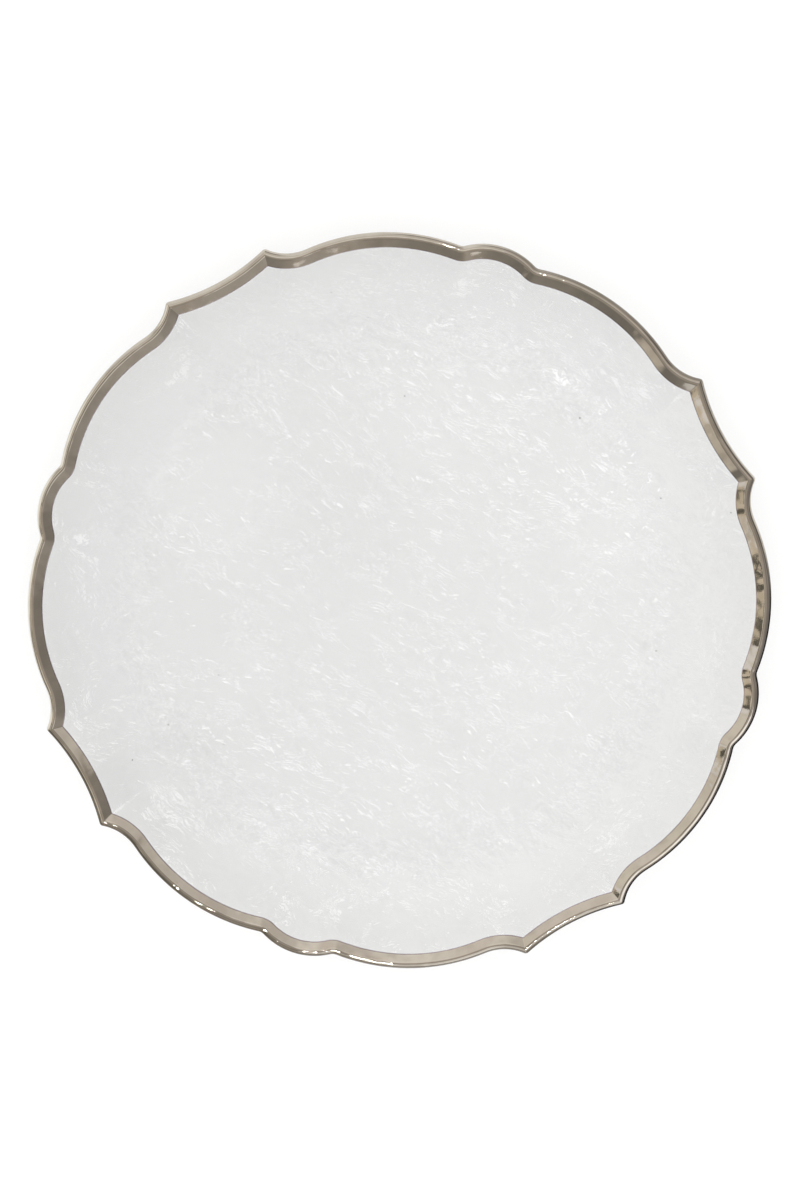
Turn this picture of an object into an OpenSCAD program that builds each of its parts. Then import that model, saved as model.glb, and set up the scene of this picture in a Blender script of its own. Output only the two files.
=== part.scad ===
// Scalloped glass charger plate with a silver band round its rim, in millimetres.
// The origin is the middle of the flat base, +Z is up, and +X runs through the middle of a pair of points.

/* [Plate] */
// Radius of the plate at the crowns of its long scallops
plate_r = 164.3; // [150:0.1:185]
// Height of the rim above the table
rim_h = 20; // [15:0.5:26]
// Thickness of the glass
glass_t = 4; // [3:0.1:6]
// Radius of the flat well, and of the flat base under it
well_r = 112; // [90:1:125]
// Radius of the bend from the well up to the rim
bend_round = 50; // [20:1:60]

/* [Scallops] */
// Depth of the bay between the two points of a pair, below the long scallops
bay_depth = 2.4; // [1.8:0.1:3]
// Radius of the bay's curve
bay_round = 93; // [75:1:120]
// Rounding of each point
tip_round = 1.8; // [1:0.1:2.5]
// Depth of the dip outside each point, below the long scallops
dip_depth = 3.1; // [2.6:0.1:3.6]
// Radius of the dip's curve
dip_round = 22; // [18:1:28]
// Radius of the long scallop's curve
long_round = 88; // [76:1:96]
// Direction of the long scallop's crown, in degrees from the middle of the pair of points
long_turn = 26; // [25:0.5:27]
// Radius of the small lobe's curve, halfway between two pairs of points
lobe_round = 31; // [26:1:36]
// Height of the lobe's crown above the long scallops
lobe_rise = 0.4; // [0:0.1:1]
// Rounding of the notch between a long scallop and a lobe
notch_round = 4; // [2:0.5:6]
// How far inside the band the scallops fade out into the round of the well
fade_w = 24; // [12:1:28]

/* [Silver band] */
// Width of the band on the rim, from the plate's edge inwards
band_w = 6.7; // [5:0.1:10]
// Thickness of the silver
coat_t = 0.3; // [0.2:0.05:0.5]
// How far the silver goes round the edge, in degrees from straight up
coat_wrap = 130; // [90:5:140]
// Rounding of the inner corners that the band has behind the points
corner_round = 0.4; // [0.2:0.1:0.8]

/* [Hidden] */

// The outline repeats this many times round the plate, and each repeat is two mirrored sectors
repeats = 4;
sector_turn = 180 / repeats;

// Straight steps along each curve of a sector, from the middle of a bay to the middle of a lobe
bay_steps = 3;
tip_steps = 3;
dip_steps = 4;
long_steps = 5;
notch_steps = 3;
lobe_steps = 2;

// Straight steps of the cross-section: the bend, the sloping rim, the edge under the silver and the edge below it
bend_steps = 5;
rim_steps = 4;
edge_steps = 7;
under_steps = 2;

// The rounded edge's radius, its centre's distance from the well and its height
edge_r = glass_t / 2;
edge_x = plate_r - well_r - edge_r - coat_t;
edge_z = rim_h - edge_r - coat_t;

// The band's inner line, as a distance from the well
band_x = plate_r - well_r - band_w;

// The bend is as round as asked, or less where the rim would have no straight part behind its edge
rise = edge_z - glass_t;
straight_least = 2 * band_w;
bend_room = edge_x * edge_x + rise * rise - edge_r * edge_r - straight_least * straight_least;
bend_r = min(bend_round, bend_room / (2 * (rise + edge_r)));

// Slope of the rim: its middle line leaves the bend straight and meets the edge's centre
lean = atan2(rise - bend_r, edge_x) + asin((bend_r + edge_r) / norm([edge_x, rise - bend_r]));

function along(a) = [cos(a), sin(a)];

function facing(p) = atan2(p[1], p[0]);

function turned(p, a) = norm(p) * along(facing(p) + a);

// Where two circles cross, on the left (1) or the right (-1) of the line from the first to the second
function crossing(c1, r1, c2, r2, side) =
    let(
        gap = norm(c2 - c1),
        ahead = (gap * gap + r1 * r1 - r2 * r2) / (2 * gap),
        aside = sqrt(max(0, r1 * r1 - ahead * ahead)),
        way = facing(c2 - c1)
    )
    c1 + ahead * along(way) + side * aside * along(way + 90);

// Centres of the curves that make a sector: the silver's outer edge is drawn with their own radii
bay_c = [plate_r - bay_depth + bay_round, 0];
long_c = (plate_r - long_round) * along(long_turn);
lobe_c = (plate_r + lobe_rise - lobe_round) * along(sector_turn);
dip_c = crossing([0, 0], plate_r - dip_depth + dip_round, long_c, long_round + dip_round, -1);
notch_c = crossing(long_c, long_round + notch_round, lobe_c, lobe_round + notch_round, -1);

// Points of an arc about c, turning the short way from one direction to another, without the last
function arc(c, r, from, to, steps) =
    let(turn = to - from - 360 * round((to - from) / 360))
    [for (i = [0 : steps - 1]) c + r * along(from + turn * i / steps)];

// A sector of the line that lies evenly inside the plate's edge: hollow curves grow and full ones shrink
function sector(inset) =
    let(
        tip_r = max(tip_round - inset, corner_round),
        bay_r = bay_round + inset,
        dip_r = dip_round + inset,
        tip_c = crossing(bay_c, bay_r + tip_r, dip_c, dip_r + tip_r, 1)
    )
    concat(
        arc(bay_c, bay_r, 180, facing(tip_c - bay_c), bay_steps),
        arc(tip_c, tip_r, facing(bay_c - tip_c), facing(dip_c - tip_c), tip_steps),
        arc(dip_c, dip_r, facing(tip_c - dip_c), facing(long_c - dip_c), dip_steps),
        arc(long_c, long_round - inset, facing(dip_c - long_c), facing(notch_c - long_c), long_steps),
        arc(notch_c, notch_round + inset, facing(long_c - notch_c), facing(lobe_c - notch_c), notch_steps),
        arc(lobe_c, lobe_round - inset, facing(notch_c - lobe_c), sector_turn, lobe_steps),
        [(plate_r + lobe_rise - inset) * along(sector_turn)]
    );

// The whole line: each repeat is a sector and its mirror image
function contour(inset) =
    let(
        half = sector(inset),
        back = [for (i = [len(half) - 2 : -1 : 1]) turned(half[i], 2 * (sector_turn - facing(half[i])))]
    )
    [for (k = [0 : repeats - 1], p = concat(half, back)) turned(p, 2 * sector_turn * k)];

band_line = contour(band_w);
stations = len(band_line);

// The plate's plan at a distance from the well: scalloped from the band's line outwards, and fading
// smoothly inside it to a round line
function plan(x) =
    let(
        left = max(0, 1 - (band_x - x) / fade_w),
        scalloped = left * left * (3 - 2 * left)
    )
    x < band_x
    ? [for (p = band_line) along(facing(p)) * (well_r + x + scalloped * (norm(p) - well_r - band_x))]
    : contour(plate_r - well_r - x);

// A ring of the surface at a cross-section point, which is a distance from the well and a height
function ring(at) = [for (p = plan(at[0])) [p[0], p[1], at[1]]];

// Cross-section points on the bend, the sloping rim and the rounded edge, lift above or below the glass's top
function bend_at(a, lift) = [(bend_r - lift) * sin(a), glass_t + bend_r - (bend_r - lift) * cos(a)];
function rim_at(x, lift) =
    let(start = bend_at(lean, lift))
    [x, start[1] + (x - start[0]) * tan(lean)];
function edge_at(a, lift) = [edge_x + (edge_r + lift) * sin(a), edge_z + (edge_r + lift) * cos(a)];

edge_turns = [for (i = [0 : edge_steps]) -lean + (coat_wrap + lean) * i / edge_steps];
under_turns = [for (i = [1 : under_steps]) coat_wrap + (180 - lean - coat_wrap) * i / under_steps];

// The bend and the sloping rim up to the band's line, on the glass's top (0) or its underside (-glass_t)
function slope_section(lift) =
    let(start = bend_at(lean, lift)[0])
    concat(
        [for (i = [0 : bend_steps]) bend_at(lean * i / bend_steps, lift)],
        [for (i = [1 : rim_steps]) rim_at(start + (band_x - start) * i / rim_steps, lift)]
    );

function reversed(list) = [for (i = [len(list) - 1 : -1 : 0]) list[i]];

glass_section = concat(
    slope_section(0),
    [for (a = concat(edge_turns, under_turns)) edge_at(a, 0)],
    reversed(slope_section(-glass_t))
);

// The silver's outer face, from the band's inner line over the edge, then the glass face that it covers
coat_outside = concat([rim_at(band_x, coat_t)], [for (a = edge_turns) edge_at(a, coat_t)]);
coat_inside = concat([for (a = reversed(edge_turns)) edge_at(a, 0)], [rim_at(band_x, 0)]);

// The two triangles between neighbouring rings k and m at station j, split along one diagonal or the other
function patch(k, m, j, other) =
    let(
        n = (j + 1) % stations,
        a = k * stations + j,
        b = k * stations + n,
        c = m * stations + n,
        d = m * stations + j
    )
    other ? [[a, b, d], [b, c, d]] : [[a, b, c], [a, c, d]];

module glass_plate() {
    rings = len(glass_section);
    color([0.85, 0.88, 0.88, 0.45])
        polyhedron(
            points = [for (at = glass_section, p = ring(at)) p],
            faces = concat(
                [[for (j = [stations - 1 : -1 : 0]) j]],
                [for (k = [0 : rings - 2], j = [0 : stations - 1], f = patch(k, k + 1, j, false)) f],
                [[for (j = [0 : stations - 1]) (rings - 1) * stations + j]]
            )
        );
}

// The faces against the glass are split as the glass's own are, so that the two fit face to face
module silver_rim() {
    section = concat(coat_outside, coat_inside);
    rings = len(section);
    outer = len(coat_outside);
    color([0.60, 0.57, 0.52])
        polyhedron(
            points = [for (at = section, p = ring(at)) p],
            faces = [
                for (k = [0 : rings - 1], j = [0 : stations - 1])
                    for (f = patch(k, (k + 1) % rings, j, k >= outer)) f
            ]
        );
}

glass_plate();
silver_rim();
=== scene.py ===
import math

import bmesh
import bpy
from mathutils import Matrix, Vector, noise


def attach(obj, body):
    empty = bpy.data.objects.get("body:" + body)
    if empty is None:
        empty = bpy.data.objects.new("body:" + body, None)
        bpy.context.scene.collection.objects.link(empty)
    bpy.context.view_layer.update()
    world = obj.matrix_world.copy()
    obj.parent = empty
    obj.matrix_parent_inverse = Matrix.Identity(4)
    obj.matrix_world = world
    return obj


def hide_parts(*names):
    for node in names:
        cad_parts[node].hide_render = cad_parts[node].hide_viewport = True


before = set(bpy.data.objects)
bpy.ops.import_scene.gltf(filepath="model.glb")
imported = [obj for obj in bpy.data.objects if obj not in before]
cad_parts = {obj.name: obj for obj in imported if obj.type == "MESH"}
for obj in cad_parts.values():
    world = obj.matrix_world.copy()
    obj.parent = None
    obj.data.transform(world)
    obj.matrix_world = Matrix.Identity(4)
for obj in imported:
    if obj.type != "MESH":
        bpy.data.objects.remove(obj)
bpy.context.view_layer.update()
print("frame loaded:", sorted(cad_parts))

mm = 0.001
scene = bpy.context.scene
scene.view_settings.view_transform = "Standard"
scene.view_settings.look = "None"

# the plate's own sizes, the same as in the solids
plate = {
    "radius": 164.3 * mm,
    "rimHeight": 20 * mm,
    "glass": 4 * mm,
    "well": 112 * mm,
    "bend": 50 * mm,
    "bandWidth": 6.7 * mm,
    "coat": 0.3 * mm,
    "coatWrap": math.radians(130),
    "fade": 24 * mm,
}

# one scallop sector, from the middle of a bay to the middle of a lobe
scallop = {
    "repeats": 4,
    "bayDepth": 2.4 * mm,
    "bayRound": 93 * mm,
    "tipRound": 1.8 * mm,
    "dipDepth": 3.1 * mm,
    "dipRound": 22 * mm,
    "longRound": 88 * mm,
    "longTurn": math.radians(26),
    "lobeRound": 31 * mm,
    "lobeRise": 0.4 * mm,
    "notchRound": 4 * mm,
    "cornerRound": 0.4 * mm,
    "within": 0.02 * mm,  # keeps the finer outline inside the solid's one
    "steps": {"bay": 8, "tip": 8, "dip": 11, "long": 21, "notch": 6, "lobe": 10},
}


def along(angle):
    return Vector((math.cos(angle), math.sin(angle)))


def facing(point):
    return math.atan2(point.y, point.x)


def crossing(centreA, radiusA, centreB, radiusB, side):
    # where two circles cross, left (1) or right (-1) of the line from the first to the second
    gap = (centreB - centreA).length
    ahead = (gap * gap + radiusA * radiusA - radiusB * radiusB) / (2 * gap)
    aside = math.sqrt(max(0.0, radiusA * radiusA - ahead * ahead))
    way = facing(centreB - centreA)
    return centreA + ahead * along(way) + side * aside * along(way + math.pi / 2)


def arcPoints(centre, radius, start, end, steps):
    turn = end - start - 2 * math.pi * round((end - start) / (2 * math.pi))
    return [centre + radius * along(start + turn * i / steps) for i in range(steps)]


halfTurn = math.pi / scallop["repeats"]
bayCentre = Vector((plate["radius"] - scallop["bayDepth"] + scallop["bayRound"], 0))
longCentre = (plate["radius"] - scallop["longRound"]) * along(scallop["longTurn"])
lobeCentre = (plate["radius"] + scallop["lobeRise"] - scallop["lobeRound"]) * along(halfTurn)
dipCentre = crossing(Vector((0, 0)), plate["radius"] - scallop["dipDepth"] + scallop["dipRound"],
                     longCentre, scallop["longRound"] + scallop["dipRound"], -1)
notchCentre = crossing(longCentre, scallop["longRound"] + scallop["notchRound"],
                       lobeCentre, scallop["lobeRound"] + scallop["notchRound"], -1)


def sectorLine(inset):
    s, n = scallop, scallop["steps"]
    tip = max(s["tipRound"] - inset, s["cornerRound"])
    bay, dip = s["bayRound"] + inset, s["dipRound"] + inset
    tipCentre = crossing(bayCentre, bay + tip, dipCentre, dip + tip, 1)
    joins = [
        (bayCentre, bay, math.pi, facing(tipCentre - bayCentre), n["bay"]),
        (tipCentre, tip, facing(bayCentre - tipCentre), facing(dipCentre - tipCentre), n["tip"]),
        (dipCentre, dip, facing(tipCentre - dipCentre), facing(longCentre - dipCentre), n["dip"]),
        (longCentre, s["longRound"] - inset, facing(dipCentre - longCentre),
         facing(notchCentre - longCentre), n["long"]),
        (notchCentre, s["notchRound"] + inset, facing(longCentre - notchCentre),
         facing(lobeCentre - notchCentre), n["notch"]),
        (lobeCentre, s["lobeRound"] - inset, facing(notchCentre - lobeCentre), halfTurn, n["lobe"]),
    ]
    line = [point for join in joins for point in arcPoints(*join)]
    return line + [(plate["radius"] + s["lobeRise"] - inset) * along(halfTurn)]


def outline(inset):
    # the line that lies evenly inside the plate's edge, all the way round
    half = sectorLine(inset + scallop["within"])
    back = [Matrix.Rotation(2 * (halfTurn - facing(p)), 2) @ p for p in half[-2:0:-1]]
    return [Matrix.Rotation(2 * halfTurn * k, 2) @ p
            for k in range(scallop["repeats"]) for p in half + back]


# the cross-section: where the rounded edge's middle lies and how far the rim leans
edgeRound = plate["glass"] / 2
edgeReach = plate["radius"] - plate["well"] - edgeRound - plate["coat"]
edgeHeight = plate["rimHeight"] - edgeRound - plate["coat"]
bandReach = plate["radius"] - plate["well"] - plate["bandWidth"]
bendDrop = edgeHeight - plate["glass"] - plate["bend"]
lean = math.atan2(bendDrop, edgeReach) + math.asin(
    (plate["bend"] + edgeRound) / math.hypot(edgeReach, bendDrop))
bandLine = outline(plate["bandWidth"])
stations = len(bandLine)


def planRing(reach):
    # the plate's plan at a distance from the well: scalloped at the band, and fading to a round
    if reach >= bandReach:
        return outline(plate["radius"] - plate["well"] - reach)
    left = max(0.0, 1 - (bandReach - reach) / plate["fade"])
    share = left * left * (3 - 2 * left)
    return [p.normalized() * (plate["well"] + reach
                              + share * (p.length - plate["well"] - bandReach)) for p in bandLine]


joinGap = 0.0004 * mm  # points nearer than this are one point


class Pen:
    # draws a cross-section in a bmesh, on from the last point
    def __init__(self, x, z):
        self.bm = bmesh.new()
        self.first = self.last = self.bm.verts.new((plate["well"] + x, 0, z))

    def lineTo(self, x, z, pieces=1):
        start, end = self.last.co.copy(), Vector((plate["well"] + x, 0, z))
        for i in range(pieces):
            made = bmesh.ops.extrude_vert_indiv(self.bm, verts=[self.last])
            self.last = made["verts"][0]
            self.last.co = start.lerp(end, (i + 1) / pieces)

    def turnAbout(self, x, z, angle, pieces):
        made = bmesh.ops.spin(self.bm, geom=[self.last], cent=(plate["well"] + x, 0, z),
                              axis=(0, 1, 0), angle=angle, steps=pieces)
        self.last = next(v for v in made["geom_last"] if isinstance(v, bmesh.types.BMVert))

    def close(self):
        self.bm.edges.new((self.last, self.first))

    def spinRound(self):
        # turns the section through one repeat, copies that round, and sets each point on the
        # scalloped plan
        bm, repeats = self.bm, scallop["repeats"]
        bmesh.ops.spin(bm, geom=bm.verts[:] + bm.edges[:], cent=(0, 0, 0), axis=(0, 0, 1),
                       angle=2 * halfTurn, steps=stations // repeats)
        quarter = bm.verts[:] + bm.edges[:] + bm.faces[:]
        for k in range(1, repeats):
            copied = bmesh.ops.duplicate(bm, geom=quarter)["geom"]
            bmesh.ops.rotate(bm, verts=[v for v in copied if isinstance(v, bmesh.types.BMVert)],
                             cent=(0, 0, 0), matrix=Matrix.Rotation(2 * halfTurn * k, 3, "Z"))
        bmesh.ops.remove_doubles(bm, verts=bm.verts, dist=joinGap)
        station = bm.verts.layers.int.new("station")
        inset = bm.verts.layers.float.new("inset")
        rings = {}
        for v in bm.verts:
            reach = round(v.co.xy.length - plate["well"], 6)
            v[inset] = plate["radius"] - plate["well"] - reach
            if reach > mm - plate["well"]:  # all but the middle point
                if reach not in rings:
                    rings[reach] = planRing(reach)
                v[station] = round(facing(v.co.xy) / (2 * math.pi) * stations) % stations
                v.co.xy = rings[reach][v[station]]
        bmesh.ops.recalc_face_normals(bm, faces=bm.faces)
        return bm


def edgePoint(angle, lift):
    # on the rounded edge, angle from straight up, lift above the glass
    return (edgeReach + (edgeRound + lift) * math.sin(angle),
            edgeHeight + (edgeRound + lift) * math.cos(angle))


def rimPoint(reach, lift):
    # on the straight slope of the rim
    startX = (plate["bend"] - lift) * math.sin(lean)
    startZ = plate["glass"] + plate["bend"] - (plate["bend"] - lift) * math.cos(lean)
    return reach, startZ + (reach - startX) * math.tan(lean)


def finishPiece(name, bm, materials, body="root"):
    for face in bm.faces:
        face.smooth = True
    mesh = bpy.data.meshes.new(name)
    bm.to_mesh(mesh)
    bm.free()
    piece = bpy.data.objects.new(name, mesh)
    scene.collection.objects.link(piece)
    for material in materials:
        mesh.materials.append(material)
    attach(piece, body)
    return piece


class Socket:
    # a node's socket that sums, products and the like can be written with
    def __init__(self, nodes, socket):
        self.nodes, self.socket = nodes, socket

    def math(self, operation, first, second):
        return self.nodes.add("Math", {"operation": operation}, {0: first, 1: second})

    def __add__(self, other):
        return self.math("ADD", self, other)

    def __sub__(self, other):
        return self.math("SUBTRACT", self, other)

    def __rsub__(self, other):
        return self.math("SUBTRACT", other, self)

    def __mul__(self, other):
        return self.math("MULTIPLY", self, other)

    __radd__, __rmul__ = __add__, __mul__


class Nodes:
    # the nodes of one material or of the world
    def __init__(self, owner):
        owner.use_nodes = True
        self.tree = owner.node_tree
        self.tree.nodes.clear()

    def add(self, kind, settings=None, values=None, output=None):
        node = self.tree.nodes.new("ShaderNode" + kind)
        for name, value in (settings or {}).items():
            if name == "hardStops":
                node.color_ramp.interpolation = "CONSTANT"
                self.setStops(node.color_ramp, value)
            else:
                setattr(node, name, value)
        for name, value in (values or {}).items():
            self.feed(self.pick(node.inputs, name), value)
        outputs = [o for o in node.outputs if o.enabled]
        if not outputs:
            return node
        return Socket(self, self.pick(node.outputs, output) if output else outputs[0])

    def pick(self, sockets, name):
        if isinstance(name, int):
            return sockets[name]
        return next(s for s in sockets if s.enabled and s.name == name)

    def feed(self, socket, value):
        if isinstance(value, Socket):
            self.tree.links.new(value.socket, socket)
        elif socket.type == "RGBA" and len(value) == 3:
            socket.default_value = (*value, 1)
        else:
            socket.default_value = value

    def setStops(self, ramp, stops):
        while len(ramp.elements) < len(stops):
            ramp.elements.new(0.5)
        for element, (place, colour) in zip(ramp.elements, stops):
            element.position = place
            element.color = (*colour, 1)

    def mix(self, share, first, second):
        # from the first colour to the second
        return self.add("Mix", {"data_type": "RGBA"}, {"Factor": share, "A": first, "B": second})

    def step(self, value, low, high, toLow=0.0, toHigh=1.0):
        # a soft step from one value to another
        return self.add("MapRange", {"interpolation_type": "SMOOTHSTEP"},
                        {"Value": value, "From Min": low, "From Max": high,
                         "To Min": toLow, "To Max": toHigh})

    def near(self, way, azimuth, polar, full, end):
        # 1 within the full angle of a direction, and 0 beyond the end one
        cosine = self.add("VectorMath", {"operation": "DOT_PRODUCT"},
                          {0: way, 1: tuple(skyWay(azimuth, polar))}, "Value")
        return self.step(cosine, math.cos(math.radians(end)), math.cos(math.radians(full)))


photoTurn = math.radians(28.78)  # the photograph's right-hand side, as a turn from +X
wrinkleTurn = math.radians(-27) - photoTurn  # the way the glass's wrinkles run


def skyWay(azimuth, polar):
    # a direction by its azimuth in the photograph and its angle from straight up, in degrees
    a, p = math.radians(azimuth) - photoTurn, math.radians(polar)
    return Vector((math.sin(p) * math.cos(a), math.sin(p) * math.sin(a), math.cos(p)))


def photoPlace(right, up):
    # millimetres to the right and up in the photograph, from the plate's middle
    return Matrix.Rotation(-photoTurn, 2) @ Vector((right * mm, up * mm))


# glass
glassLook = {
    "clearness": (0.888, 0.892, 0.893),
    # painted shade, a little darker to one side: azimuth, from and to how far out, and its brightness
    # there
    "shadedSide": (170, -120 * mm, 140 * mm, 0.945),
    # painted light and shade, soft paler and darker areas: right and up of the middle, where each is
    # full, where it ends, and its brightness
    "paintedLightAndShade": [
        (-80, 42, 10, 46, 1.024), (-70, -32, 4, 22, 1.018), (18, 84, 10, 42, 1.016),
        (96, 34, 10, 42, 1.014), (56, -44, 8, 40, 1.013), (0, -84, 8, 30, 1.010),
        (44, -130, 6, 34, 1.014), (-102, -86, 12, 48, 0.970), (114, -66, 6, 30, 0.982),
        (-22, 32, 12, 44, 0.986),
        # three small painted reflections, pale patches of two or three spots each
        (-42.0, 74.0, 1.6, 2.6, 1.036), (-40.0, 69.5, 1.2, 2.0, 1.036), (-44.0, 4.0, 1.2, 2.2, 1.028),
        (-41.0, 0.0, 1.4, 2.2, 1.032), (102.5, -81.5, 1.8, 2.8, 1.042), (98.5, -86.5, 1.8, 2.8, 1.036),
        (109.5, -81.5, 1.0, 1.8, 1.034),
    ],
    "relief": 0.03,  # painted shade: how much darker the wrinkles' thicker spots are, standing in for their relief shading
    "paintedReliefLevels": (0.50, 1.0),
    "throughLight": (0.925, 0.928, 0.930),
    "bendLight": 1.52,
    "topRoughness": 0.03,
    "underRoughness": 0.04,
    "wrinkleLength": 1.7,
    "warpScale": 90.0,  # bends the wrinkles this way and that
    "wrinkleBend": 12 * mm,
    "domeBend": 25 * mm,
    # where the wrinkles come and go: scale, from and to which level, and what is left between
    "underPatches": 80.0,
    "topPatches": 65.0,
    "patchLevels": (0.40, 0.58, 0.40),
    # size and depth of the fine wrinkles and of the longer waves that carry them
    "underWrinkle": (0.62 * mm, 0.045 * mm),
    "underWave": (1.9 * mm, 0.24 * mm),
    "topWrinkle": (0.90 * mm, 0.02 * mm),
    "topWave": (3.0 * mm, 0.20 * mm),
    "topShine": (0.10, 0.10, 0.10),  # the wrinkled underside shines more than the fire-polished top
    "underShine": (2.5, 2.5, 2.5),
    "bendWrinkle": 1.1,  # how much deeper they are on the bend, between these two rings
    "bendInside": (103 * mm, 113 * mm),
    "bendOutside": (124 * mm, 136 * mm),
    # what is left of the wrinkles on the smooth domes, and where they are back, in dome radii
    "calm": 0.55,
    "calmReach": (0.3, 1.2),
}


def glassMaterial(name, under):
    look = glassLook
    material = bpy.data.materials.new(name)
    n = Nodes(material)
    place = n.add("TexCoord", output="Object")
    turned = n.add("Mapping", {"vector_type": "TEXTURE"},
                   {"Vector": place, "Rotation": (0, 0, wrinkleTurn),
                    "Scale": (look["wrinkleLength"], 1, 1)})

    # painted shade in the tint: darker toward one side
    azimuth, low, high, share = look["shadedSide"]
    sideways = n.add("VectorMath", {"operation": "DOT_PRODUCT"},
                     {0: place, 1: tuple(skyWay(azimuth, 90))}, "Value")
    level = n.step(sideways, low, high, 1.0, share)
    # painted light and shade: each spot paints the tint paler or darker, and the small pale ones are
    # painted reflections
    for right, up, full, end, share in look["paintedLightAndShade"]:
        away = n.add("VectorMath", {"operation": "DISTANCE"},
                     {0: place, 1: (*photoPlace(right, up), 0)}, "Value")
        level = level * n.step(away, full * mm, end * mm, share, 1.0)
    tint = n.add("VectorMath", {"operation": "SCALE"}, {0: look["clearness"], "Scale": level})

    warp = n.add("TexNoise", {}, {"Vector": place, "Scale": look["warpScale"], "Detail": 1.0}, "Color")
    bend, loosely = look["wrinkleBend"], look["domeBend"]
    bent = n.add("VectorMath", {"operation": "MULTIPLY_ADD"}, {0: warp, 1: (bend, bend, 0.0), 2: turned})
    loose = n.add("VectorMath", {"operation": "MULTIPLY_ADD"},
                  {0: warp, 1: (2 * loosely, 2 * loosely, 0.0), 2: place})
    loose = n.add("VectorMath", {"operation": "SUBTRACT"}, {0: loose, 1: (loosely, loosely, 0.0)})

    # how rough each place is: in patches, rougher on the bend and calmer on the domes
    patches = n.add("TexNoise", {}, {"Vector": turned, "Detail": 2.0,
                                     "Scale": look["underPatches"] if under else look["topPatches"]})
    low, high, least = look["patchLevels"]
    rough = n.step(patches, low, high, least, 1.0)
    out = n.add("VectorMath", {"operation": "LENGTH"}, {0: place}, "Value")
    onBend = n.step(out, *look["bendInside"]) - n.step(out, *look["bendOutside"])
    rough = rough * (onBend * look["bendWrinkle"] + 1.0)
    low, high = look["calmReach"]
    for centre, radius in domes:
        away = n.add("VectorMath", {"operation": "DISTANCE"}, {0: loose, 1: (*centre, 0)}, "Value")
        rough = rough * n.step(away, low * radius, high * radius, look["calm"], 1.0)

    size, depth = look["underWrinkle"] if under else look["topWrinkle"]
    fine = n.add("TexNoise", {}, {"Vector": bent, "Scale": 1 / size, "Detail": 1.0, "Roughness": 0.5})
    relief = fine * rough * depth
    size, depth = look["underWave"] if under else look["topWave"]
    wave = n.add("TexNoise", {}, {"Vector": bent, "Scale": 1 / size, "Detail": 1.0, "Roughness": 0.5})
    relief = relief + wave * rough * depth
    # painted shade: the wrinkles' thicker spots darken the tint, standing in for their relief shading
    paintedRelief = n.step(wave + fine * 0.5, *look["paintedReliefLevels"])
    tint = n.mix(paintedRelief * rough * look["relief"], tint, (0.0, 0.0, 0.0))
    normal = n.add("Bump", {}, {"Height": relief, "Distance": 1.0, "Strength": 1.0})

    roughness = look["underRoughness"] if under else look["topRoughness"]
    glass = n.add("BsdfPrincipled", {}, {
        "Base Color": tint, "Roughness": roughness, "IOR": look["bendLight"],
        "Specular Tint": look["underShine"] if under else look["topShine"],
        "Transmission Weight": 1.0, "Normal": normal})
    through = n.add("BsdfTransparent", {}, {"Color": look["throughLight"]})
    # light reaches the floor straight through the glass
    isShadow = n.add("LightPath", output="Is Shadow Ray")
    isDiffuse = n.add("LightPath", output="Is Diffuse Ray")
    lit = n.add("MixShader", {}, {0: isShadow, 1: glass, 2: through})
    lit = n.add("MixShader", {}, {0: isDiffuse, 1: lit, 2: through})
    n.add("OutputMaterial", {}, {"Surface": lit})
    return material


glassShape = {
    "wellPieces": 84,
    "topWellPieces": 10,
    "softBend": 8 * mm,  # half the length over which the well turns up into the bend
    "bendPieces": 12,
    "slopePieces": 26,
    "edgePieces": 10,
    "bandPieces": 3,
    "waveLength": 2.0,
    "waveSize": 3.3 * mm,
    "waveDepth": 0.13 * mm,
    "warpSize": 22 * mm,
    "warpDepth": 7 * mm,
    "patchSize": 30 * mm,
    "patchLeast": 0.45,  # what is left of the waves between their patches
    "swellSize": 26 * mm,
    "swellDepth": 0.16 * mm,
    "foldSize": 7.5 * mm,
    "foldDepth": 0.08 * mm,
    "topSwellSize": 30 * mm,
    "topSwellDepth": 0.10 * mm,
    "bendEnd": 25 * mm,  # how far past the well the softened bend joins the solid's own
    # the underside's ripples are half as deep beyond the bend, and end before the band
    "outerStart": 95 * mm,
    "outerWidth": 45 * mm,
    "endGap": 2 * mm,
    "endWidth": 12 * mm,
    # smooth domes with folds round them: right and up of the middle in the photograph, and radius
    "domes": [(-92, 60, 34), (-97, -18, 24), (104, 62, 26), (-112, 94, 20)],
    # how much calmer the waves are on them, and how wide that and the folds are, in dome radii
    "domeCalm": 0.6,
    "domeSpread": 0.8,
    "foldSpread": 0.32,
    "seed": 1,  # the ripples bend the same way each run
}


def drawGlass():
    g = glassShape
    pen = Pen(-plate["well"], plate["glass"])
    pen.lineTo(-2 * g["softBend"], plate["glass"], g["topWellPieces"])
    pen.lineTo(0, plate["glass"], g["bendPieces"])
    bendZ = plate["glass"] + plate["bend"]
    pen.turnAbout(0, bendZ, -lean, g["bendPieces"])
    pen.lineTo(*rimPoint(bandReach, 0), g["slopePieces"] // 2)
    pen.lineTo(*edgePoint(-lean, 0), g["bandPieces"])
    pen.turnAbout(edgeReach, edgeHeight, math.pi, g["edgePieces"])
    pen.lineTo(*rimPoint(bandReach, -plate["glass"]), g["bandPieces"])
    startX = (plate["bend"] + plate["glass"]) * math.sin(lean)
    startZ = bendZ - (plate["bend"] + plate["glass"]) * math.cos(lean)
    pen.lineTo(startX, startZ, g["slopePieces"])
    pen.turnAbout(0, bendZ, lean, g["bendPieces"])
    pen.lineTo(-plate["well"], 0, g["wellPieces"])
    return pen.spinRound()


domes = [(photoPlace(right, up), radius * mm) for right, up, radius in glassShape["domes"]]


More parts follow.
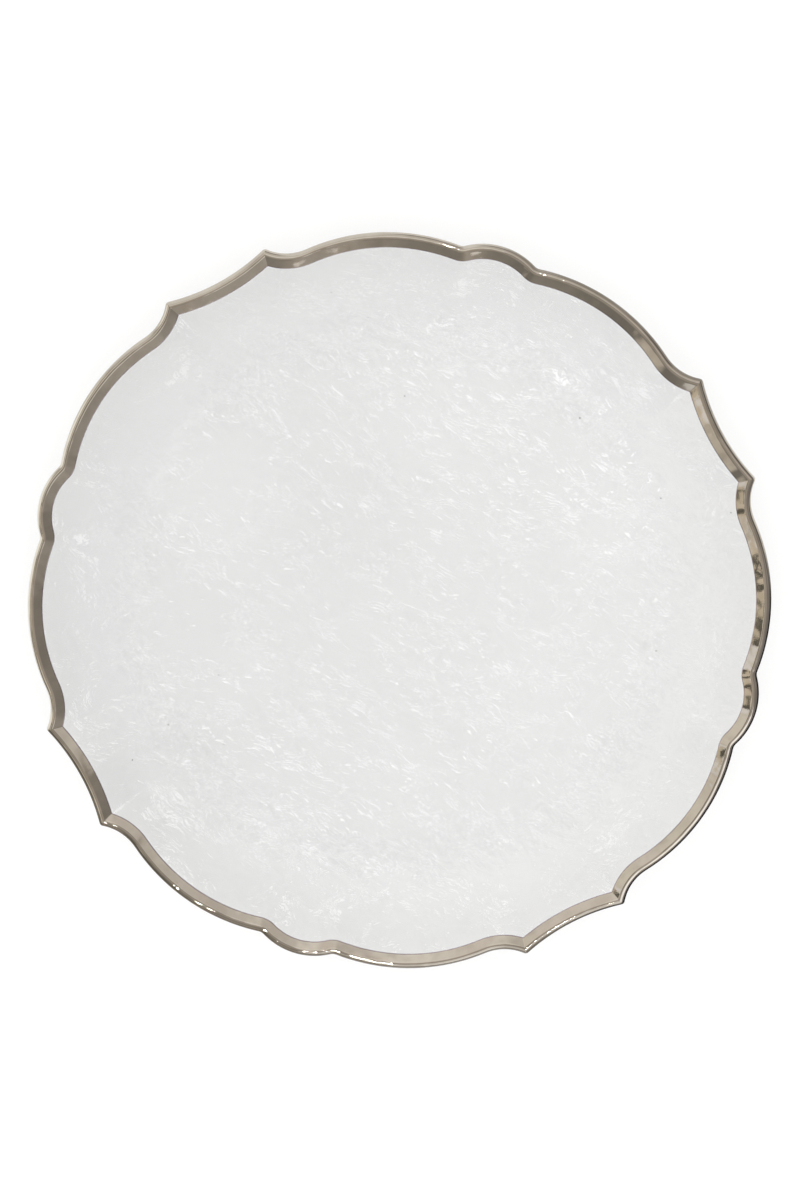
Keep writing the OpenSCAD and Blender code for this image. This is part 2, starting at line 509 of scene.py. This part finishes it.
def rippleDepth(x, y):
    # how far the underside is pressed in at a place, always inwards
    g = glassShape
    warp = noise.noise_vector(Vector((x, y, 20 * mm)) / g["warpSize"]) * g["warpDepth"]
    x, y = x + warp.x, y + warp.y
    calm, folds = 1.0, 0.0
    for centre, radius in domes:
        away = math.hypot(x - centre.x, y - centre.y)
        calm *= 1 - g["domeCalm"] * math.exp(-(away / (g["domeSpread"] * radius)) ** 2)
        nearEdge = math.exp(-((away - radius) / (g["foldSpread"] * radius)) ** 2)
        folds += math.sin(2 * math.pi * away / g["foldSize"]) * nearEdge
    c, s = math.cos(wrinkleTurn), math.sin(wrinkleTurn)
    u, v = (c * x + s * y) / g["waveLength"], c * y - s * x
    wave = noise.noise(Vector((u, v, 0.3 * mm)) / g["waveSize"])
    patch = noise.noise(Vector((x, y, 90 * mm)) / g["patchSize"])
    calm *= g["patchLeast"] + (1 - g["patchLeast"]) * max(0.0, min(1.0, 0.5 + 1.6 * patch))
    swell = noise.noise(Vector((x, y, 0.7 * mm)) / g["swellSize"])
    return (g["waveDepth"] * calm * (0.5 + 0.5 * wave) + g["swellDepth"] * (0.5 + 0.5 * swell)
            + g["foldDepth"] * (1 + folds))


def softBend(x):
    # how far the top rises above the sharp start of the bend, so that it starts softly
    w = glassShape["softBend"]
    arc = x * x / (2 * plate["bend"]) if x > 0 else 0
    if x < w:
        return max(0, x + w) ** 3 / (12 * w * plate["bend"]) - arc
    left = max(0.0, 1 - (x - w) / glassShape["bendEnd"])
    return w * w / (6 * plate["bend"]) * left * left * (3 - 2 * left)


def rippleGlass(bm):
    g = glassShape
    end = plate["radius"] - plate["bandWidth"] - g["endGap"]
    bm.normal_update()
    moves = {}
    for v in bm.verts:
        out = v.co.xy.length
        fade = max(0.0, min(1.0, (end - out) / g["endWidth"]))
        if fade == 0 or abs(v.normal.z) < 0.5:
            continue
        if v.normal.z < 0:
            middle = 1 - 0.5 * max(0.0, min(1.0, (out - g["outerStart"]) / g["outerWidth"]))
            moves[v] = -v.normal * fade * middle * rippleDepth(v.co.x, v.co.y)
        else:
            swell = noise.noise(Vector((v.co.x, v.co.y, 40 * mm)) / g["topSwellSize"])
            rise = g["topSwellDepth"] * (swell - 1) + softBend(out - plate["well"])
            moves[v] = v.normal * fade * rise
    for v, move in moves.items():
        v.co += move


noise.seed_set(glassShape["seed"])
bm = drawGlass()
rippleGlass(bm)
for face in bm.faces:
    face.material_index = 1 if face.normal.z < -0.2 else 0
glassPiece = finishPiece("glass_plate_clear", bm,
                         [glassMaterial("clearGlassTop", False), glassMaterial("clearGlassUnder", True)])
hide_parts("glass_plate")
print("glass:", len(glassPiece.data.polygons), "faces")

# tiny dark seeds in the glass: right and up of the middle in the photograph, and size
seeds = [
    (-29.5, 137.5, 0.2), (2.3, 91, 0.25), (79.5, 82, 0.3), (115.5, 47, 0.3), (146.5, 42.5, 0.25),
    (114, -21.5, 0.3), (-119.5, -73, 0.25), (-104, -58, 0.25), (-81, -35, 0.2), (-79, -66.5, 0.2),
]
seedLook = {"dark": (0.02, 0.02, 0.02), "pale": (0.10, 0.095, 0.08), "roughness": 0.6, "mottle": 4000.0}

bm = bmesh.new()
for right, up, size in seeds:
    place = photoPlace(right, up)
    lift = plate["glass"] / 2
    if place.length > plate["well"]:
        lift += rimPoint(place.length - plate["well"], 0)[1] - plate["glass"]
    middle = Matrix.Translation((place.x, place.y, max(lift, plate["glass"] / 2)))
    bmesh.ops.create_icosphere(bm, subdivisions=2, radius=size * mm, matrix=middle)
seedMaterial = bpy.data.materials.new("seedGrey")
n = Nodes(seedMaterial)
mottle = n.add("TexNoise", {}, {"Vector": n.add("TexCoord", output="Object"), "Scale": seedLook["mottle"]})
n.add("OutputMaterial", {}, {"Surface": n.add("BsdfPrincipled", {}, {
    "Base Color": n.mix(mottle, seedLook["dark"], seedLook["pale"]), "Roughness": seedLook["roughness"]})})
seedPiece = finishPiece("glass_seeds", bm, [seedMaterial])
print("seeds:", len(seeds))

# silver
silverShape = {
    "flatPieces": 8,
    "roundPieces": 24,
    "lining": 0.012 * mm,  # the silver's inner face stands this far off the glass
    "feather": 0.16 * mm,  # its inner border rises over this width, by most of its thickness at first
    "firstRise": (0.06 * mm, 0.6),
}

silverLook = {
    "bright": (0.80, 0.76, 0.70),
    "dull": (0.72, 0.68, 0.62),
    "edgeLine": (0.60, 0.54, 0.58),
    "edgeFrom": (6.5 * mm, 6.9 * mm),
    "edgeWear": (500.0, 0.7 * mm),  # scale and width of the inner border's unevenness
    "clouds": 120.0,
    "cloudLevels": (0.35, 0.7),  # from bright to dull
    "waves": (110.0, 0.25 * mm),  # scale and depth
    "grain": (2600.0, 0.005 * mm),
    "roughLevels": (0.3, 0.8, 0.02, 0.06),  # of the clouds, and its roughness at each
}


def drawSilver():
    s = silverShape
    lining, coat = s["lining"], plate["coat"]
    pen = Pen(*rimPoint(bandReach, lining))
    width, share = s["firstRise"]
    pen.lineTo(*rimPoint(bandReach + width, coat * share))
    pen.lineTo(*rimPoint(bandReach + s["feather"], coat))
    pen.lineTo(*rimPoint(bandReach + 2 * s["feather"], coat))
    pen.lineTo(*edgePoint(-lean, coat), s["flatPieces"])
    pen.turnAbout(edgeReach, edgeHeight, lean + plate["coatWrap"], s["roundPieces"])
    pen.lineTo(*edgePoint(plate["coatWrap"], lining))
    pen.turnAbout(edgeReach, edgeHeight, -lean - plate["coatWrap"], s["roundPieces"] // 2)
    pen.close()
    return pen.spinRound()


def mapBand(bm):
    # a map with the way along the band and the distance in from the edge, both in metres
    uv = bm.loops.layers.uv.new("band")
    station, inset = bm.verts.layers.int["station"], bm.verts.layers.float["inset"]
    edge = outline(0)
    placed = [0]
    for j in range(stations):
        placed.append(placed[-1] + (edge[(j + 1) % stations] - edge[j]).length)
    for face in bm.faces:
        last = any(loop.vert[station] == stations - 1 for loop in face.loops)
        for loop in face.loops:
            j = loop.vert[station]
            loop[uv].uv = (placed[stations if last and j == 0 else j], loop.vert[inset])


def silverMaterial():
    look = silverLook
    material = bpy.data.materials.new("silverLustre")
    n = Nodes(material)
    place = n.add("TexCoord", output="Object")
    cloudy = n.add("TexNoise", {}, {"Vector": place, "Scale": look["clouds"], "Detail": 4.0})
    colour = n.mix(n.step(cloudy, *look["cloudLevels"]), look["bright"], look["dull"])
    inset = n.add("SeparateXYZ", {}, {"Vector": n.add("UVMap", {"uv_map": "band"})}, "Y")
    scale, width = look["edgeWear"]
    worn = n.add("TexNoise", {}, {"Vector": place, "Scale": scale, "Detail": 2.0})
    colour = n.mix(n.step(inset + worn * width, *look["edgeFrom"]), colour, look["edgeLine"])
    scale, depth = look["waves"]
    waves = n.add("TexNoise", {}, {"Vector": place, "Scale": scale, "Detail": 1.0})
    normal = n.add("Bump", {}, {"Height": waves, "Distance": depth, "Strength": 1.0})
    scale, depth = look["grain"]
    grain = n.add("TexNoise", {}, {"Vector": place, "Scale": scale, "Detail": 2.0})
    normal = n.add("Bump", {}, {"Height": grain, "Distance": depth, "Strength": 1.0, "Normal": normal})
    roughness = n.step(cloudy, *look["roughLevels"])
    metal = n.add("BsdfPrincipled", {}, {"Base Color": colour, "Metallic": 1.0,
                                         "Roughness": roughness, "Normal": normal})
    n.add("OutputMaterial", {}, {"Surface": metal})
    return material


bm = drawSilver()
mapBand(bm)
silverPiece = finishPiece("silver_band", bm, [silverMaterial()])
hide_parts("silver_rim")
print("silver:", len(silverPiece.data.polygons), "faces")

# floor
floorLook = {
    "half": 2.5,  # metres
    "pale": (0.52, 0.52, 0.52),
    "darker": (0.51, 0.51, 0.51),
    "glow": (0.46, 0.46, 0.46),  # lit from below too, as a light table is, so that the shadows stay faint
    "speckle": 3.0,
    # the floor as the silver mirrors it: its colour, and sides of other colours, each with its azimuth
    # in the photograph and the angles where it is full and where it ends
    "mirrored": (0.74, 0.72, 0.67),
    "sides": [(280, 24, 56, (0.36, 0.35, 0.33)), (330, 26, 44, (0.02, 0.018, 0.018)),
              (230, 18, 34, (0.20, 0.18, 0.14)), (50, 12, 28, (0.34, 0.32, 0.29)),
              (180, 14, 30, (1.0, 1.0, 0.98))],
}

bm = bmesh.new()
bmesh.ops.create_grid(bm, x_segments=4, y_segments=4, size=floorLook["half"])
floorMesh = bpy.data.meshes.new("floor")
bm.to_mesh(floorMesh)
bm.free()
floor = bpy.data.objects.new("floor", floorMesh)
scene.collection.objects.link(floor)
floorMaterial = bpy.data.materials.new("paleFloor")
n = Nodes(floorMaterial)
place = n.add("TexCoord", output="Object")
speckle = n.add("TexNoise", {}, {"Vector": place, "Scale": floorLook["speckle"]})
shade = n.mix(speckle, floorLook["pale"], floorLook["darker"])
paint = n.add("BsdfDiffuse", {}, {"Color": shade})
glow = n.add("Emission", {}, {"Color": floorLook["glow"], "Strength": 1.0})
lit = n.add("AddShader", {}, {0: paint, 1: glow})
outward = n.add("VectorMath", {"operation": "NORMALIZE"}, {0: place}, "Vector")
mirrored = floorLook["mirrored"]
for azimuth, full, end, colour in floorLook["sides"]:
    mirrored = n.mix(n.near(outward, azimuth, 90, full, end), mirrored, colour)
mirrorGlow = n.add("Emission", {}, {"Color": mirrored, "Strength": 1.0})
isGlossy = n.add("LightPath", output="Is Glossy Ray")
isThrough = n.add("LightPath", output="Is Transmission Ray")
seen = n.add("MixShader", {}, {0: isGlossy, 1: lit, 2: mirrorGlow})
n.add("OutputMaterial", {}, {"Surface": n.add("MixShader", {}, {0: isThrough, 1: seen, 2: lit})})
floorMesh.materials.append(floorMaterial)

# light
roomLook = {
    "overhead": (0.37, 0.327, 0.278),
    "horizon": (0.25, 0.23, 0.21),
    "overheadFrom": 0.6,  # as a height on a dome of radius 1
    "evenSky": (1.42, 1.42, 1.42),
    "backdrop": (1.15, 1.15, 1.15),
    # pale and dark things that the silver mirrors: azimuth in the photograph and angle from straight
    # up, the angles where each is full and where it ends, and its colour
    "patches": [
        (100, 38, 12, 44, (0.57, 0.53, 0.48)),
        (120, 76, 16, 34, (0.74, 0.71, 0.66)),
        (172, 76, 14, 26, (0.95, 0.92, 0.84)),
        (345, 36, 8, 24, (0.23, 0.21, 0.185)),
        (330, 78, 22, 34, (0.19, 0.175, 0.17)),
        (20, 76, 16, 28, (0.12, 0.11, 0.105)),
        (222, 74, 8, 20, (0.08, 0.075, 0.065)),
        (240, 40, 10, 26, (0.24, 0.22, 0.19)),
        (230, 47, 4, 13, (0.19, 0.175, 0.155)),
        (312, 36, 6, 16, (0.32, 0.29, 0.26)),
        (288, 37, 9, 14, (0.38, 0.35, 0.31)),
        (217, 46, 4, 9, (0.52, 0.47, 0.40)),
        (126, 31, 8, 14, (0.68, 0.63, 0.57)),
        (188, 31, 4, 8, (0.62, 0.57, 0.49)),
        (204, 37, 7, 12, (0.60, 0.55, 0.46)),
        (48, 8, 5, 10, (0.26, 0.24, 0.21)),
        (184, 20, 5, 8, (0.17, 0.16, 0.14)),
        (288, 20.5, 5, 8, (0.78, 0.76, 0.71)),
        (282, 65, 9, 13, (0.62, 0.60, 0.56)),
        (38, 25, 6, 12, (0.56, 0.52, 0.47)),
        (102, 20, 6, 13, (0.76, 0.72, 0.66)),
        (165, 33, 7, 12, (0.68, 0.63, 0.55)),
    ],
    # a busy corner, which shows as short hard-edged patches in the silver
    "corner": (194, 47, 14, 14.5),
    "cornerScale": 15.0,
    "cornerBend": (9.0, 0.12),  # scale and depth of what bends its patches
    "cornerShades": [(0.0, (0.60, 0.52, 0.41)), (0.30, (0.12, 0.11, 0.09)), (0.46, (0.56, 0.49, 0.38)),
                     (0.64, (0.74, 0.71, 0.68)), (0.74, (0.20, 0.18, 0.14)), (0.84, (0.62, 0.54, 0.44))],
}

world = bpy.data.worlds.new("room")
scene.world = world
n = Nodes(world)
way = n.add("TexCoord", output="Generated")
height = n.add("SeparateXYZ", {}, {"Vector": way}, "Z")
room = n.mix(n.step(height, 0.0, roomLook["overheadFrom"]), roomLook["horizon"], roomLook["overhead"])
for azimuth, polar, full, end, colour in roomLook["patches"]:
    room = n.mix(n.near(way, azimuth, polar, full, end), room, colour)
scale, bend = roomLook["cornerBend"]
bentWay = n.add("TexNoise", {}, {"Vector": way, "Scale": scale, "Detail": 1.0}, "Color")
bentWay = n.add("VectorMath", {"operation": "MULTIPLY_ADD"}, {0: bentWay, 1: (bend, bend, bend), 2: way})
things = n.add("TexVoronoi", {}, {"Vector": bentWay, "Scale": roomLook["cornerScale"]}, "Color")
things = n.add("SeparateXYZ", {}, {"Vector": things}, "X")
corner = n.add("ValToRGB", {"hardStops": roomLook["cornerShades"]}, {0: things})
room = n.mix(n.near(way, *roomLook["corner"]), room, corner)
# matt surfaces are lit by an even sky, and the silver and the glass mirror the room
matt = n.add("LightPath", output="Is Diffuse Ray")
seen = n.add("LightPath", output="Is Camera Ray")
sky = n.mix(seen, n.mix(matt, room, roomLook["evenSky"]), roomLook["backdrop"])
n.add("OutputWorld", {}, {"Surface": n.add("Background", {}, {"Color": sky, "Strength": 1.0})})

# lamps for the glass: azimuth in the photograph, angle from straight up, size and brightness
glassLamps = {
    "wellLampA": (244, 27.3, 0.60, 2.2),
    "wellLampB": (59, 6.7, 0.60, 2.0),
    "rimLampA": (40, 39, 0.80, 1.8),
    "rimLampB": (96, 40, 0.80, 1.6),
    "rimLampC": (347, 46, 0.80, 1.5),
    "rimLampD": (148, 47, 0.80, 1.3),
    "rimLampE": (266, 61, 0.80, 1.1),
    "rimLampF": (191, 58, 0.80, 1.1),
    "rimLampG": (229, 61, 0.80, 1.2),
    "rimLampH": (304, 56, 0.80, 1.1),
}
# small spots and pale cards for the silver: the side of the rim that each faces, azimuth, angle from
# straight up, distance, size, brightness and the beam's half angle
silverLamps = {
    "topSpot": (72, 78, 20, 3.0, 0.06, 300, 5),
    "lowerSpotA": (245, 240, 24, 3.0, 0.055, 420, 5),
    "lowerSpotB": (262, 255, 22, 3.0, 0.055, 420, 4),
    "lowerSpotC": (290, 284, 27, 3.0, 0.055, 420, 4),
    "lowerCard": (276, 274, 44, 0.5, 0.40, 0.34, 90),
    "rightCard": (325, 310, 38, 0.5, 0.32, 0.75, 90),
}
lampDistance = 3.0


def litOnly(piece):
    group = bpy.data.collections.new(piece.name + "_lit")
    group.objects.link(piece)
    return group


def addLamp(name, start, away, distance, size, brightness, beam, group):
    # a round lamp that faces the start from a direction and a distance
    half = math.radians(beam)
    lamp = bpy.data.lights.new(name, "AREA")
    lamp.shape = "DISK"
    lamp.size = size
    lamp.spread = 2 * half
    lamp.energy = brightness * math.pi * math.pi * size * size / 4
    if beam < 90:
        lamp.energy *= 1 - half / math.tan(half)  # a narrow beam is as bright as a wide one
    holder = bpy.data.objects.new(name, lamp)
    holder.light_linking.receiver_collection = group
    scene.collection.objects.link(holder)
    holder.matrix_world = (Matrix.Translation(start + away * distance)
                           @ away.to_track_quat("Z", "Y").to_matrix().to_4x4())


glassLit, silverLit = litOnly(glassPiece), litOnly(silverPiece)
for name, (azimuth, polar, size, brightness) in glassLamps.items():
    addLamp(name, Vector(), skyWay(azimuth, polar), lampDistance, size, brightness, 90, glassLit)
for name, (side, azimuth, polar, distance, size, brightness, beam) in silverLamps.items():
    addLamp(name, plate["radius"] * skyWay(side, 90), skyWay(azimuth, polar), distance, size, brightness,
            beam, silverLit)
print("lamps:", len(glassLamps) + len(silverLamps))

# camera, fitted to the photograph
cameraPlace = {
    "aimHeight": 18 * mm,
    "leanTo": 65.5,
    "lean": 10.31,
    "distance": 1.7955,
    "lens": 122.33,
    "shift": (0.0026, 0.0046),
}
camera = bpy.data.objects.new("camera", bpy.data.cameras.new("camera"))
scene.collection.objects.link(camera)
camera.data.lens = cameraPlace["lens"]
camera.data.sensor_width = 36  # millimetres
camera.data.shift_x, camera.data.shift_y = cameraPlace["shift"]
camera.data.clip_end = 50
look = skyWay(cameraPlace["leanTo"], cameraPlace["lean"])
photoUp = Vector((-math.sin(-photoTurn), math.cos(-photoTurn), 0))
photoRight = photoUp.cross(look).normalized()
photoUp = look.cross(photoRight)
turn = Matrix((photoRight, photoUp, look)).transposed().to_4x4()
aim = Vector((0, 0, cameraPlace["aimHeight"]))
camera.matrix_world = Matrix.Translation(aim + look * cameraPlace["distance"]) @ turn
scene.camera = camera
print("camera set")
